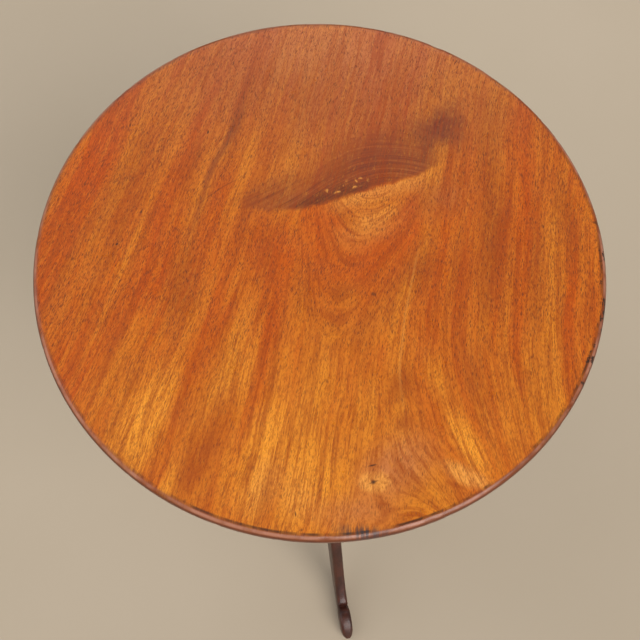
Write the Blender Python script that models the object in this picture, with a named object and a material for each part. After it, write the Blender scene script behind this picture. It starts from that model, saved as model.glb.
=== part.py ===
"""Tilt top tripod table: a round top on two bearers, hinged on a block that is wedged to a turned column.

Metres, +Z up. The origin is on the floor, on the column's axis. The top tilts about an axis along X and its
upper face then looks along -Y. The single leg at the back points along +Y.
"""

import math

import bmesh
import bpy
from mathutils import Matrix, Vector

# Driving dimensions
TABLE_HEIGHT = 0.700
TOP_RADIUS = 0.300
TOP_THICKNESS = 0.016
TOE_REACH = 0.2935
COLUMN_FOOT = 0.115
GAP = 0.0003

# Leg
LEG_WIDTH = 0.0172
LEG_EDGE_ROUND = 0.004
LEG_SHOULDER = 0.0287
LEG_AZIMUTHS = {"leg_back": 90.0, "leg_left": 210.0, "leg_right": 330.0}
TONGUE_INNER = 0.012
TONGUE_ROOT_HALF = 0.0050
TONGUE_END_HALF = 0.0070
TONGUE_TOP = 0.178
LEG_TOP = 0.190
DRUM_RADIUS = 0.030

# Block and its pivots
BLOCK_HALF_X = 0.065
BLOCK_BACK = 0.065
BLOCK_THICKNESS = 0.030
PIVOT_Y = -0.052
PIVOT_RADIUS = 0.008
TENON_RADIUS = 0.014
WEDGE_HALF_X = 0.0115

# Bearers
BEARER_WIDTH = 0.022
BEARER_HEIGHT = 0.028
BEARER_TIP_HEIGHT = 0.0125
BEARER_HALF_LENGTH = 0.235
BEARER_FULL_HALF = 0.135
BEARER_PLAY = 0.0008
BEARER_SEAT = 0.013
SCREW_STATIONS = (-0.205, -0.105, 0.105, 0.205)

# Catch: a flat bolt that slides along Y into the block
BOLT_TRAVEL = 0.010
BOLT_WIDTH = 0.012
BOLT_THICKNESS = 0.005
BOLT_LENGTH = 0.058
BOLT_CLEAR = 0.0010
PLATE_THICKNESS = 0.0015
SPRING_SPACE = 0.0030
STRIKE_THICKNESS = 0.0015
STRAP_STATIONS = {"catch_strap_front": 0.0785, "catch_strap_rear": 0.1145}
STRAP_LENGTH = 0.008

# Iron brace under the column
BRACE_REACH = 0.072
BRACE_HALF_WIDTH = 0.007
BRACE_THICKNESS = 0.002

# Levels that follow from the above
BOARD_UNDER = TABLE_HEIGHT - TOP_THICKNESS
BLOCK_TOP = BOARD_UNDER - 0.0005
BLOCK_UNDER = BLOCK_TOP - BLOCK_THICKNESS
PIVOT_Z = BLOCK_TOP - BLOCK_THICKNESS / 2
BEARER_TOP = BOARD_UNDER - GAP
BEARER_X = BLOCK_HALF_X + BEARER_PLAY + BEARER_WIDTH / 2
BOLT_TOP = BOARD_UNDER - GAP - PLATE_THICKNESS - SPRING_SPACE
BOLT_MID = BOLT_TOP - BOLT_THICKNESS / 2
STRIKE_FACE = BLOCK_BACK + 0.0003
BOLT_NOSE = STRIKE_FACE + BOLT_CLEAR

# Leg stations from the shoulder to the tip of the toe: (radius, height) on the upper edge, on the lower
# edge, and the share of the leg's full width there
LEG_STATIONS = [
    ((LEG_SHOULDER, LEG_TOP), (LEG_SHOULDER, COLUMN_FOOT), 1.0),
    ((0.0500, 0.1965), (0.052, COLUMN_FOOT), 1.0),
    ((0.0760, 0.1985), (0.074, COLUMN_FOOT), 1.0),
    ((0.1020, 0.1930), (0.092, 0.1160), 1.0),
    ((0.1270, 0.1800), (0.110, 0.1130), 0.98),
    ((0.1500, 0.1600), (0.127, 0.1020), 0.96),
    ((0.1710, 0.1340), (0.143, 0.0850), 0.93),
    ((0.1900, 0.1040), (0.159, 0.0640), 0.91),
    ((0.2070, 0.0740), (0.176, 0.0420), 0.90),
    ((0.2230, 0.0500), (0.195, 0.0235), 0.89),
    ((0.2365, 0.0350), (0.216, 0.0105), 0.88),
    ((0.2445, 0.0300), (0.236, 0.0035), 0.88),
    ((0.2462, 0.0225), (0.246, 0.0008), 0.88),
    ((0.2520, 0.0262), (0.252, 0.0000), 0.95),
    ((0.2600, 0.0300), (0.260, 0.0000), 1.0),
    ((0.2700, 0.0290), (0.270, 0.0000), 1.0),
    ((0.2790, 0.0250), (0.279, 0.0000), 0.98),
    ((0.2860, 0.0190), (0.285, 0.0010), 0.88),
    ((0.2905, 0.0135), (0.290, 0.0035), 0.64),
    ((TOE_REACH, 0.0095), (TOE_REACH, 0.0065), 0.25),
]

# Column outline from the foot up: (radius, height)
COLUMN_PROFILE = [
    (0.0270, COLUMN_FOOT),
    (DRUM_RADIUS, COLUMN_FOOT + 0.004),
    (DRUM_RADIUS, 0.2000),
    (0.0275, 0.2040),
    (0.0275, 0.2070),
    (0.0335, 0.2100),
    (0.0345, 0.2140),
    (0.0335, 0.2180),
    (0.0255, 0.2210),
    (0.0215, 0.2270),
    (0.0225, 0.2330),
    (0.0290, 0.2450),
    (0.0350, 0.2620),
    (0.0370, 0.2800),
    (0.0350, 0.3000),
    (0.0295, 0.3250),
    (0.0240, 0.3550),
    (0.0205, 0.3850),
    (0.0195, 0.4000),
    (0.0255, 0.4030),
    (0.0265, 0.4065),
    (0.0255, 0.4100),
    (0.0210, 0.4130),
    (0.0225, 0.4600),
    (0.0210, 0.5200),
    (0.0185, 0.5800),
    (0.0175, 0.6080),
    (0.0225, 0.6110),
    (0.0235, 0.6150),
    (0.0225, 0.6190),
    (0.0190, 0.6220),
    (0.0195, 0.6290),
    (0.0240, 0.6370),
    (0.0300, 0.6425),
    (0.0310, 0.6480),
    (0.0300, BLOCK_UNDER - GAP),
    (TENON_RADIUS, BLOCK_UNDER - GAP),
    (TENON_RADIUS, BLOCK_TOP - GAP),
]


def clear_scene():
    for obj in list(bpy.data.objects):
        bpy.data.objects.remove(obj)


def make_material(name, colour, roughness, metallic=0.0):
    made = bpy.data.materials.new(name)
    made.use_nodes = True
    shader = made.node_tree.nodes["Principled BSDF"]
    shader.inputs["Base Color"].default_value = (*colour, 1.0)
    shader.inputs["Roughness"].default_value = roughness
    shader.inputs["Metallic"].default_value = metallic
    made.diffuse_color = (*colour, 1.0)
    return made


def finish_mesh(name, bm, smooth=False):
    bmesh.ops.remove_doubles(bm, verts=bm.verts, dist=1e-6)
    bmesh.ops.recalc_face_normals(bm, faces=bm.faces)
    mesh = bpy.data.meshes.new(name)
    bm.to_mesh(mesh)
    bm.free()
    if smooth:
        mesh.shade_smooth()
        mesh.set_sharp_from_angle(angle=math.radians(35))
    return mesh


def place(name, mesh, material=None, location=(0, 0, 0), rotation=(0, 0, 0), parent=None):
    obj = bpy.data.objects.new(name, mesh)
    bpy.context.scene.collection.objects.link(obj)
    if material and not mesh.materials:
        mesh.materials.append(material)
    obj.location = location
    obj.rotation_euler = rotation
    obj.parent = parent
    return obj


def hide_cutter(obj):
    obj.hide_render = True
    obj.display_type = "WIRE"
    return obj


def cut(obj, cutter, operation="DIFFERENCE"):
    boolean = obj.modifiers.new(cutter.name, "BOOLEAN")
    boolean.object = cutter
    boolean.operation = operation
    boolean.solver = "EXACT"


def turned_mesh(name, profile, segments):
    """A closed solid turned about Z from an outline of (radius, height) points, bottom first."""
    bm = bmesh.new()
    outline = [(0.0, profile[0][1]), *profile, (0.0, profile[-1][1])]
    points = [bm.verts.new((radius, 0, height)) for radius, height in outline]
    edges = [bm.edges.new(pair) for pair in zip(points, points[1:])]
    bmesh.ops.spin(
        bm, geom=points + edges, cent=(0, 0, 0), axis=(0, 0, 1), angle=math.tau, steps=segments,
        use_merge=True,
    )
    bmesh.ops.remove_doubles(bm, verts=bm.verts, dist=1e-6)
    return finish_mesh(name, bm, smooth=True)


def prism_mesh(name, outline, low, high, to_world=None):
    """An outline of (x, y) points extruded in Z from low to high into a solid, then turned by to_world."""
    bm = bmesh.new()
    face = bm.faces.new([bm.verts.new((x, y, low)) for x, y in outline])
    extruded = bmesh.ops.extrude_face_region(bm, geom=[face])
    moved = [item for item in extruded["geom"] if isinstance(item, bmesh.types.BMVert)]
    bmesh.ops.translate(bm, verts=moved, vec=(0, 0, high - low))
    if to_world:
        bmesh.ops.transform(bm, matrix=to_world, verts=bm.verts)
    return finish_mesh(name, bm)


def box_mesh(name, low, high):
    corners = [(low[0], low[1]), (high[0], low[1]), (high[0], high[1]), (low[0], high[1])]
    return prism_mesh(name, corners, low[2], high[2])


# A prism drawn in the (Y, Z) plane and extruded along X
SIDE_VIEW = Matrix(((0, 0, 1, 0), (1, 0, 0, 0), (0, 1, 0, 0), (0, 0, 0, 1)))


def arc(centre, radius, start, end, steps):
    """Points on an arc, angles in degrees."""
    angles = [math.radians(start + (end - start) * k / steps) for k in range(steps + 1)]
    return [(centre[0] + radius * math.cos(a), centre[1] + radius * math.sin(a)) for a in angles]


def screw_outline(length, head_radius, shank_radius, grow=0.0):
    """A countersunk screw as a turned outline: head face at z = 0, point up. grow widens it for its hole."""
    head_depth = head_radius - shank_radius
    tip = shank_radius * 0.5
    return [
        (head_radius + grow, 0.0),
        (head_radius + grow, 0.0006),
        (shank_radius + grow, head_depth + 0.0006),
        (shank_radius + grow, length - tip),
        (tip + grow, length + grow),
    ]


def add_screw(name, material, foot, direction, size, seats, parent=None, pocket=0.0):
    """A slotted screw: head face centred on foot, driven along direction, its hole cut from each seat."""
    length, head_radius, shank_radius = size
    turn = Vector(direction).to_track_quat("Z", "Y").to_euler()
    mesh = turned_mesh(name, screw_outline(length, head_radius, shank_radius), 10)
    screw = place(name, mesh, material, foot, turn, parent)
    slot_half = (head_radius * 1.3, 0.0004)
    slot = box_mesh(
        name + "_slot", (-slot_half[0], -slot_half[1], -0.001), (slot_half[0], slot_half[1], 0.0007)
    )
    cut(screw, hide_cutter(place(name + "_slot", slot, None, foot, turn, parent)))
    hole = screw_outline(length, head_radius, shank_radius, grow=GAP)
    hole[0] = (head_radius + GAP, -0.0010 - pocket)
    hole_mesh = turned_mesh(name + "_hole", hole, 10)
    cutter = hide_cutter(place(name + "_hole", hole_mesh, None, foot, turn, parent))
    for seat in seats:
        cut(seat, cutter)
    return screw


def build_column(material):
    column = place("column", turned_mesh("column", COLUMN_PROFILE, 24), material)
    for name, azimuth in LEG_AZIMUTHS.items():
        turn = (0, 0, math.radians(azimuth))
        inner = TONGUE_INNER - GAP
        end = TONGUE_END_HALF + GAP
        root = TONGUE_ROOT_HALF + GAP
        flat = LEG_SHOULDER - GAP
        outside = DRUM_RADIUS + 0.01
        dovetail = [(inner, -end), (outside, -root), (outside, root), (inner, end)]
        socket = prism_mesh(name + "_socket", dovetail, COLUMN_FOOT - 0.01, TONGUE_TOP + GAP)
        half = LEG_WIDTH / 2 + GAP
        low, high = (flat, -half, COLUMN_FOOT - 0.012), (0.045, half, LEG_TOP + 2 * GAP)
        housing = box_mesh(name + "_housing", low, high)
        for cutter_name, mesh in ((name + "_socket", socket), (name + "_housing", housing)):
            cut(column, hide_cutter(place(cutter_name, mesh, None, rotation=turn)))
    slot_half = WEDGE_HALF_X + GAP
    slot = prism_mesh(
        "wedge_slot",
        [(-0.0006 - GAP, 0.6612), (0.0006 + GAP, 0.6612), (0.0019 + GAP, 0.6900), (-0.0019 - GAP, 0.6900)],
        -slot_half,
        slot_half,
        SIDE_VIEW,
    )
    cut(column, hide_cutter(place("wedge_slot", slot)))
    return column


def build_wedge(material):
    """Spreads the tenon in the block: a thin tapered slip, thicker at the top."""
    top = BLOCK_TOP - GAP
    outline = [(-0.0006, 0.6616), (0.0006, 0.6616), (0.0016, top), (-0.0016, top)]
    mesh = prism_mesh("tenon_wedge", outline, -WEDGE_HALF_X, WEDGE_HALF_X, SIDE_VIEW)
    return place("tenon_wedge", mesh, material)


def leg_section(upper, lower, half, edge):
    """One ring of the leg: a rectangle with rounded corners in the plane through both edges."""
    top, bottom = Vector((upper[0], 0, upper[1])), Vector((lower[0], 0, lower[1]))
    height = (top - bottom).length
    along = (top - bottom).normalized()
    edge = min(edge, height * 0.45, half * 0.9)
    ring = []
    for side, level, start in ((1, height, 0), (-1, height, 90), (-1, 0, 180), (1, 0, 270)):
        centre = (side * (half - edge), level - edge if level else edge)
        for x, z in arc(centre, edge, start, start + 90, 2):
            ring.append(bottom + along * z + Vector((0, x, 0)))
    return ring


def leg_mesh():
    bm = bmesh.new()
    rings = []
    for upper, lower, share in LEG_STATIONS:
        ring = leg_section(upper, lower, LEG_WIDTH / 2 * share, LEG_EDGE_ROUND)
        rings.append([bm.verts.new(point) for point in ring])
    for first, second in zip(rings, rings[1:]):
        count = len(first)
        for k in range(count):
            bm.faces.new((first[k], first[(k + 1) % count], second[(k + 1) % count], second[k]))
    bm.faces.new(rings[0][::-1])
    bm.faces.new(rings[-1])
    leg = place("leg_shape", finish_mesh("leg_shape", bm, smooth=True))
    outline = [
        (TONGUE_INNER, -TONGUE_END_HALF),
        (LEG_SHOULDER + 0.004, -TONGUE_ROOT_HALF),
        (LEG_SHOULDER + 0.004, TONGUE_ROOT_HALF),
        (TONGUE_INNER, TONGUE_END_HALF),
    ]
    tongue = place("tongue", prism_mesh("tongue", outline, COLUMN_FOOT + 0.0005, TONGUE_TOP))
    cut(leg, tongue, "UNION")
    bpy.context.view_layer.update()
    whole = bpy.data.meshes.new_from_object(leg.evaluated_get(bpy.context.evaluated_depsgraph_get()))
    whole.name = "leg"
    bpy.data.objects.remove(leg)
    bpy.data.objects.remove(tongue)
    return whole


def build_legs(material):
    mesh = leg_mesh()
    return [
        place(name, mesh.copy(), material, rotation=(0, 0, math.radians(azimuth)))
        for name, azimuth in LEG_AZIMUTHS.items()
    ]


def build_brace(material):
    """Three flat arms under the column, one along each leg, with rounded ends."""
    outline = []
    for azimuth in sorted(LEG_AZIMUTHS.values()):
        turn = Matrix.Rotation(math.radians(azimuth), 2)
        inner = BRACE_HALF_WIDTH / math.tan(math.radians(60))
        ends = arc((BRACE_REACH - BRACE_HALF_WIDTH, 0), BRACE_HALF_WIDTH, -90, 90, 6)
        outline += [turn @ Vector(point) for point in ((inner, -BRACE_HALF_WIDTH), *ends)]
    low = COLUMN_FOOT - GAP - BRACE_THICKNESS
    mesh = prism_mesh("brace_plate", outline, low, low + BRACE_THICKNESS)
    return place("brace_plate", mesh, material)


def build_block(material):
    """The block that the top tilts on. Its upper front edge is rounded about the pivots for the board."""
    turn_radius = PIVOT_Z - BLOCK_UNDER
    front = PIVOT_Y - turn_radius
    outline = [
        (front, BLOCK_UNDER),
        (BLOCK_BACK - 0.004, BLOCK_UNDER),
        (BLOCK_BACK, BLOCK_UNDER + 0.004),
        (BLOCK_BACK, BLOCK_TOP),
        *arc((PIVOT_Y, PIVOT_Z), turn_radius, 90, 180, 6),
    ]
    block = place("block", prism_mesh("block", outline, -BLOCK_HALF_X, BLOCK_HALF_X, SIDE_VIEW), material)
    reach = BLOCK_HALF_X + BEARER_PLAY + BEARER_WIDTH - 0.001
    pins = turned_mesh("pivot_pins", [(PIVOT_RADIUS, -reach), (PIVOT_RADIUS, reach)], 24)
    sideways = (0, math.radians(90), 0)
    cut(block, hide_cutter(place("pivot_pins", pins, None, (0, PIVOT_Y, PIVOT_Z), sideways)), "UNION")
    hole = turned_mesh("tenon_hole", [(TENON_RADIUS + GAP, 0.60), (TENON_RADIUS + GAP, 0.72)], 24)
    cut(block, hide_cutter(place("tenon_hole", hole)))
    half = BOLT_WIDTH / 2 + 0.0006
    mortise = box_mesh(
        "bolt_mortise",
        (-half, BLOCK_BACK - BOLT_TRAVEL - 0.004, BOLT_MID - BOLT_THICKNESS / 2 - 0.0006),
        (half, BLOCK_BACK + 0.01, BOLT_MID + BOLT_THICKNESS / 2 + 0.0006),
    )
    cut(block, hide_cutter(place("bolt_mortise", mortise)))
    recess = box_mesh(
        "strike_recess",
        (-0.0203, BLOCK_BACK - STRIKE_THICKNESS, BOLT_MID - 0.0068),
        (0.0203, BLOCK_BACK + 0.01, BLOCK_TOP + 0.01),
    )
    cut(block, hide_cutter(place("strike_recess", recess)))
    return block


def build_strike(material):
    half = BOLT_WIDTH / 2 + 0.0005
    back = BLOCK_BACK - STRIKE_THICKNESS + GAP
    plate = box_mesh("strike_plate", (-0.020, back, BOLT_MID - 0.0065), (0.020, STRIKE_FACE, BLOCK_TOP))
    strike = place("strike_plate", plate, material)
    window = box_mesh(
        "strike_window",
        (-half, back - 0.01, BOLT_MID - BOLT_THICKNESS / 2 - 0.0005),
        (half, STRIKE_FACE + 0.01, BOLT_MID + BOLT_THICKNESS / 2 + 0.0005),
    )
    cut(strike, hide_cutter(place("strike_window", window)))
    return strike


def build_board(material, pivot):
    """The round top: flat above and below, with a rounded nose that is fullest above the edge's middle."""
    nose = 0.0055
    widest = TABLE_HEIGHT - 0.0062
    under_edge = TOP_RADIUS - 0.0045
    upper = [
        (TOP_RADIUS - nose + nose * math.sin(math.radians(a)), widest + 0.0058 * math.cos(math.radians(a)))
        for a in (90, 70, 50, 30, 10)
    ]
    depth = widest - BOARD_UNDER
    lower = [
        (under_edge + 0.0045 * math.cos(math.radians(a)), widest - depth * math.sin(math.radians(a)))
        for a in (90, 60, 30)
    ]
    outline = [*lower, *upper, (TOP_RADIUS - nose - 0.0006, TABLE_HEIGHT)]
    mesh = turned_mesh("top_board", outline, 96)
    mesh.transform(Matrix.Translation(-pivot.location))
    return place("top_board", mesh, material, parent=pivot)


def bearer_mesh(name):
    """A batten along Y, full height at its middle, thinned towards both ends in a long sweep."""
    drop = BEARER_HEIGHT - BEARER_TIP_HEIGHT
    outline = [(-BEARER_HALF_LENGTH, 0.0), (BEARER_HALF_LENGTH, 0.0)]
    sweep = []
    for k in range(7):
        share = k / 6
        y = BEARER_HALF_LENGTH + (BEARER_FULL_HALF - BEARER_HALF_LENGTH) * share
        sweep.append((y, -BEARER_TIP_HEIGHT - drop * (3 * share**2 - 2 * share**3)))
    outline += sweep + [(-y, z) for y, z in reversed(sweep)]
    half = BEARER_WIDTH / 2
    return prism_mesh(name, outline, -half, half, SIDE_VIEW)


def build_bearers(material, pivot):
    made = []
    for name, side in (("bearer_left", -1), ("bearer_right", 1)):
        at = Vector((side * BEARER_X, 0, BEARER_TOP)) - pivot.location
        bearer = place(name, bearer_mesh(name), material, at, parent=pivot)
        radius = PIVOT_RADIUS + GAP
        hole = turned_mesh(name + "_pivot_hole", [(radius, -BEARER_WIDTH), (radius, BEARER_WIDTH)], 24)
        where = Vector((side * BEARER_X, PIVOT_Y, PIVOT_Z))
        cutter = place(name + "_pivot_hole", hole, None, where, (0, math.radians(90), 0))
        cut(bearer, hide_cutter(cutter))
        made.append(bearer)
    return made


def build_catch(brass, steel, pivot, catch):
    """Plate, two straps, leaf spring, bolt and knob. The bolt and knob ride on the catch empty."""
    off = pivot.location
    home = pivot.location + catch.location
    plate_top = BOARD_UNDER - GAP
    plate_low = plate_top - PLATE_THICKNESS
    plate = place(
        "catch_plate",
        box_mesh("catch_plate", (-0.0150, 0.0700, plate_low), (0.0150, 0.1290, plate_top)),
        brass,
        -off,
        parent=pivot,
    )
    wall = 0.0016
    inner = BOLT_WIDTH / 2 + 0.0005
    under = BOLT_TOP - BOLT_THICKNESS - 0.0005
    top = plate_low - GAP
    foot = 0.0145
    strap_outline = [
        (-foot, top),
        (-foot, top - wall),
        (-inner - wall, top - wall),
        (-inner - wall, under - wall),
        (inner + wall, under - wall),
        (inner + wall, top - wall),
        (foot, top - wall),
        (foot, top),
        (inner, top),
        (inner, under),
        (-inner, under),
        (-inner, top),
    ]
    front_view = Matrix(((1, 0, 0, 0), (0, 0, -1, 0), (0, 1, 0, 0), (0, 0, 0, 1)))
    straps = []
    for name, y in STRAP_STATIONS.items():
        mesh = prism_mesh(name, strap_outline, -y - STRAP_LENGTH / 2, -y + STRAP_LENGTH / 2, front_view)
        straps.append(place(name, mesh, brass, -off, parent=pivot))
    # The leaf spring bows down from the plate and presses on the bolt
    spring_outline = []
    bow_low = BOLT_TOP + GAP
    ends = (STRAP_STATIONS["catch_strap_front"] + 0.006, STRAP_STATIONS["catch_strap_rear"] - 0.006)
    leaf = 0.0006
    for layer, step in ((0.0, 1), (leaf, -1)):
        row = []
        for k in range(9):
            share = k / 8
            y = ends[0] + (ends[1] - ends[0]) * share
            lift = (top - leaf - bow_low) * (2 * share - 1) ** 2
            row.append((y, bow_low + lift + layer))
        spring_outline += row[::step]
    spring = prism_mesh("catch_spring", spring_outline, -0.004, 0.004, SIDE_VIEW)
    place("catch_spring", spring, steel, -off, parent=pivot)
    nose_slope = 0.0022
    low = BOLT_TOP - BOLT_THICKNESS
    bolt_outline = [
        (BOLT_NOSE, BOLT_TOP),
        (BOLT_NOSE, low + nose_slope),
        (BOLT_NOSE + nose_slope, low),
        (BOLT_NOSE + BOLT_LENGTH, low),
        (BOLT_NOSE + BOLT_LENGTH, BOLT_TOP),
    ]
    half = BOLT_WIDTH / 2
    bolt_mesh = prism_mesh("catch_bolt", bolt_outline, -half, half, SIDE_VIEW)
    bolt = place("catch_bolt", bolt_mesh, brass, -home, parent=catch)
    knob_y = 0.1010
    stem = 0.0015
    seat = turned_mesh("knob_seat", [(stem + GAP, -0.001), (stem + GAP, 0.0034)], 12)
    seat_at = Vector((0, knob_y, low)) - home
    cut(bolt, hide_cutter(place("knob_seat", seat, None, seat_at, parent=catch)))
    knob_outline = [
        (0.0030, -0.0125),
        (0.0056, -0.0112),
        (0.0064, -0.0088),
        (0.0054, -0.0064),
        (0.0030, -0.0048),
        (0.0026, -0.0024),
        (0.0042, -GAP),
        (stem, -GAP),
        (stem, 0.0030),
    ]
    place("catch_knob", turned_mesh("catch_knob", knob_outline, 16), brass, seat_at, parent=catch)
    return plate, straps


def build_screws(steel, brass, parts, pivot):
    board, block, column = parts["board"], parts["block"], parts["column"]
    off = pivot.location
    for bearer, tag, side in ((parts["bearers"][0], "left", -1), (parts["bearers"][1], "right", 1)):
        for k, y in enumerate(SCREW_STATIONS):
            foot = Vector((side * BEARER_X, y, BEARER_TOP - BEARER_SEAT)) - off
            size = (BEARER_SEAT + 0.0085, 0.0042, 0.0021)
            name = f"bearer_screw_{tag}_{k + 1}"
            add_screw(name, steel, foot, (0, 0, 1), size, (bearer, board), pivot, pocket=0.02)
    for side, y in ((-1, "front"), (1, "front"), (-1, "rear"), (1, "rear")):
        station = STRAP_STATIONS["catch_strap_" + y]
        strap = parts["straps"][0 if y == "front" else 1]
        low = BOARD_UNDER - GAP - PLATE_THICKNESS - GAP - 0.0016
        foot = Vector((side * 0.0112, station, low)) - off
        name = f"catch_screw_{y}_{'left' if side < 0 else 'right'}"
        size = (0.0110, 0.0021, 0.0011)
        add_screw(name, brass, foot, (0, 0, 1), size, (strap, parts["plate"], board), pivot)
    for side, tag in ((-1, "left"), (1, "right")):
        foot = (side * 0.0145, STRIKE_FACE, BOLT_MID)
        size = (0.0110, 0.0024, 0.0012)
        add_screw(f"strike_screw_{tag}", brass, foot, (0, -1, 0), size, (parts["strike"], block))
    low = COLUMN_FOOT - GAP - BRACE_THICKNESS
    for leg, (name, azimuth) in zip(parts["legs"], LEG_AZIMUTHS.items()):
        tag = name.split("_")[1]
        outward = Vector((math.cos(math.radians(azimuth)), math.sin(math.radians(azimuth)), 0))
        foot = outward * 0.058 + Vector((0, 0, low))
        size = (0.020, 0.0038, 0.0019)
        add_screw(f"brace_screw_{tag}", steel, foot, (0, 0, 1), size, (parts["brace"], leg))
    size = (0.024, 0.0038, 0.0019)
    add_screw("brace_screw_centre", steel, (0, 0, low), (0, 0, 1), size, (parts["brace"], column))


def main():
    clear_scene()
    mahogany = make_material("mahogany_top", (0.50, 0.17, 0.035), 0.30)
    dark = make_material("mahogany_base", (0.085, 0.022, 0.012), 0.32)
    batten = make_material("mahogany_under", (0.20, 0.075, 0.030), 0.55)
    brass = make_material("brass", (0.62, 0.44, 0.18), 0.32, 1.0)
    iron = make_material("iron", (0.10, 0.085, 0.075), 0.60, 1.0)
    pivot = place("pivot_axis", None, location=(0, PIVOT_Y, PIVOT_Z))
    catch_at = Vector((0, BOLT_NOSE, BOLT_MID))
    catch = place("catch_axis", None, location=catch_at - pivot.location, parent=pivot)
    bpy.context.view_layer.update()
    parts = {"column": build_column(dark), "legs": build_legs(dark), "brace": build_brace(iron)}
    build_wedge(batten)
    parts["block"] = build_block(batten)
    parts["strike"] = build_strike(brass)
    parts["board"] = build_board(mahogany, pivot)
    parts["bearers"] = build_bearers(batten, pivot)
    parts["plate"], parts["straps"] = build_catch(brass, iron, pivot, catch)
    build_screws(iron, brass, parts, pivot)


main()
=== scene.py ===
import math

import bmesh
import bpy
from mathutils import Matrix, Vector, noise


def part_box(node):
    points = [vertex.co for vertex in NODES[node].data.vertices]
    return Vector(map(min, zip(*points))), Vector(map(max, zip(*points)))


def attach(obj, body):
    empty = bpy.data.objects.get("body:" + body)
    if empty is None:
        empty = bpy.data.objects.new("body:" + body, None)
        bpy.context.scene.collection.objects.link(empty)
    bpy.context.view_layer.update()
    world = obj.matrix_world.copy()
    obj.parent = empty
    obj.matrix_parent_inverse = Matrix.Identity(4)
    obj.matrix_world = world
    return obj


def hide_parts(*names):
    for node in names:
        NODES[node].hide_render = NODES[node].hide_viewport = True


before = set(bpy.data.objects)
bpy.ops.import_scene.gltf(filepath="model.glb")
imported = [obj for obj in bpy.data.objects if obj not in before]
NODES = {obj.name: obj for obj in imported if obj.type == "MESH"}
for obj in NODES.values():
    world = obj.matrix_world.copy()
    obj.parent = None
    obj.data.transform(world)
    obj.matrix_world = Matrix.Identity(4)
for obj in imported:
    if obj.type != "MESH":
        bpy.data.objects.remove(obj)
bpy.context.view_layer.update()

# The direction of the figure in the board, in degrees: its long way is near the tilt axis, X, and its own
# axes are U across it and V along it
FIGURE_TURN = 72.7
STAND, TOP, SLIDER = "stand", "tilting_top", "catch_slider"


# ---------------------------------------------------------------------------------------------- node graphs
class Value:
    """A shader socket that can be used in sums."""

    def __init__(self, graph, socket):
        self.graph, self.socket = graph, socket

    def _math(self, operation, *others, clamp=False):
        return self.graph.math(operation, self, *others, clamp=clamp)

    def __add__(self, other):
        return self._math("ADD", other)

    __radd__ = __add__

    def __sub__(self, other):
        return self._math("SUBTRACT", other)

    def __rsub__(self, other):
        return self.graph.math("SUBTRACT", other, self)

    def __mul__(self, other):
        return self._math("MULTIPLY", other)

    __rmul__ = __mul__

    def __truediv__(self, other):
        return self._math("DIVIDE", other)

    def sqrt(self):
        return self._math("SQRT")

    def exp(self):
        return self._math("EXPONENT")

    def abs(self):
        return self._math("ABSOLUTE")

    def power(self, other):
        return self._math("POWER", other)

    def at_least(self, other):
        return self._math("MAXIMUM", other)

    def at_most(self, other):
        return self._math("MINIMUM", other)

    def clamp(self):
        return self._math("ADD", 0.0, clamp=True)

    def _range(self, kind, *limits):
        node = self.graph.node("ShaderNodeMapRange", interpolation_type=kind)
        for index, value in enumerate((self, *limits)):
            self.graph.feed(node.inputs[index], value)
        return Value(self.graph, node.outputs[0])

    def smooth(self, low, high, out_low=0.0, out_high=1.0):
        """out_low at low to out_high at high, eased at both ends and level beyond them."""
        return self._range("SMOOTHSTEP", low, high, out_low, out_high)

    def linear(self, low, high, out_low=0.0, out_high=1.0):
        return self._range("LINEAR", low, high, out_low, out_high)


class Graph:
    """A node tree under construction."""

    def __init__(self, tree):
        self.tree = tree

    def node(self, kind, **settings):
        made = self.tree.nodes.new(kind)
        for key, value in settings.items():
            setattr(made, key, value)
        return made

    def feed(self, socket, value):
        if isinstance(value, Value):
            self.tree.links.new(value.socket, socket)
        elif isinstance(value, (tuple, list)) and len(value) == 3 and socket.type == "RGBA":
            socket.default_value = (*value, 1.0)
        else:
            socket.default_value = value

    def math(self, operation, *values, clamp=False):
        node = self.node("ShaderNodeMath", operation=operation, use_clamp=clamp)
        for index, value in enumerate(values):
            self.feed(node.inputs[index], value)
        return Value(self, node.outputs[0])

    def vector(self, x, y, z=0.0):
        node = self.node("ShaderNodeCombineXYZ")
        for index, value in enumerate((x, y, z)):
            self.feed(node.inputs[index], value)
        return Value(self, node.outputs[0])

    def split(self, vector):
        node = self.node("ShaderNodeSeparateXYZ")
        self.feed(node.inputs[0], vector)
        return tuple(Value(self, output) for output in node.outputs)

    def noise(self, vector, scale=1.0, detail=3.0, roughness=0.5, colour=False):
        node = self.node("ShaderNodeTexNoise")
        self.feed(node.inputs["Vector"], vector)
        node.inputs["Scale"].default_value = scale
        node.inputs["Detail"].default_value = detail
        node.inputs["Roughness"].default_value = roughness
        return Value(self, node.outputs[1 if colour else 0])

    def cells(self, vector, scale=1.0):
        """Distance to the nearest of scattered points, and a random number for that point."""
        node = self.node("ShaderNodeTexVoronoi")
        self.feed(node.inputs["Vector"], vector)
        node.inputs["Scale"].default_value = scale
        split = self.node("ShaderNodeSeparateColor")
        self.feed(split.inputs[0], Value(self, node.outputs["Color"]))
        return Value(self, node.outputs["Distance"]), Value(self, split.outputs[0])

    def mix(self, share, first, second):
        """share of the second colour over the first."""
        node = self.node("ShaderNodeMix", data_type="RGBA", clamp_factor=True)
        self.feed(node.inputs[0], share)
        self.feed(node.inputs[6], first)
        self.feed(node.inputs[7], second)
        return Value(self, node.outputs[2])

    def blend(self, share, first, second):
        """The same for plain numbers."""
        return first + (second - first) * share


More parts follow.
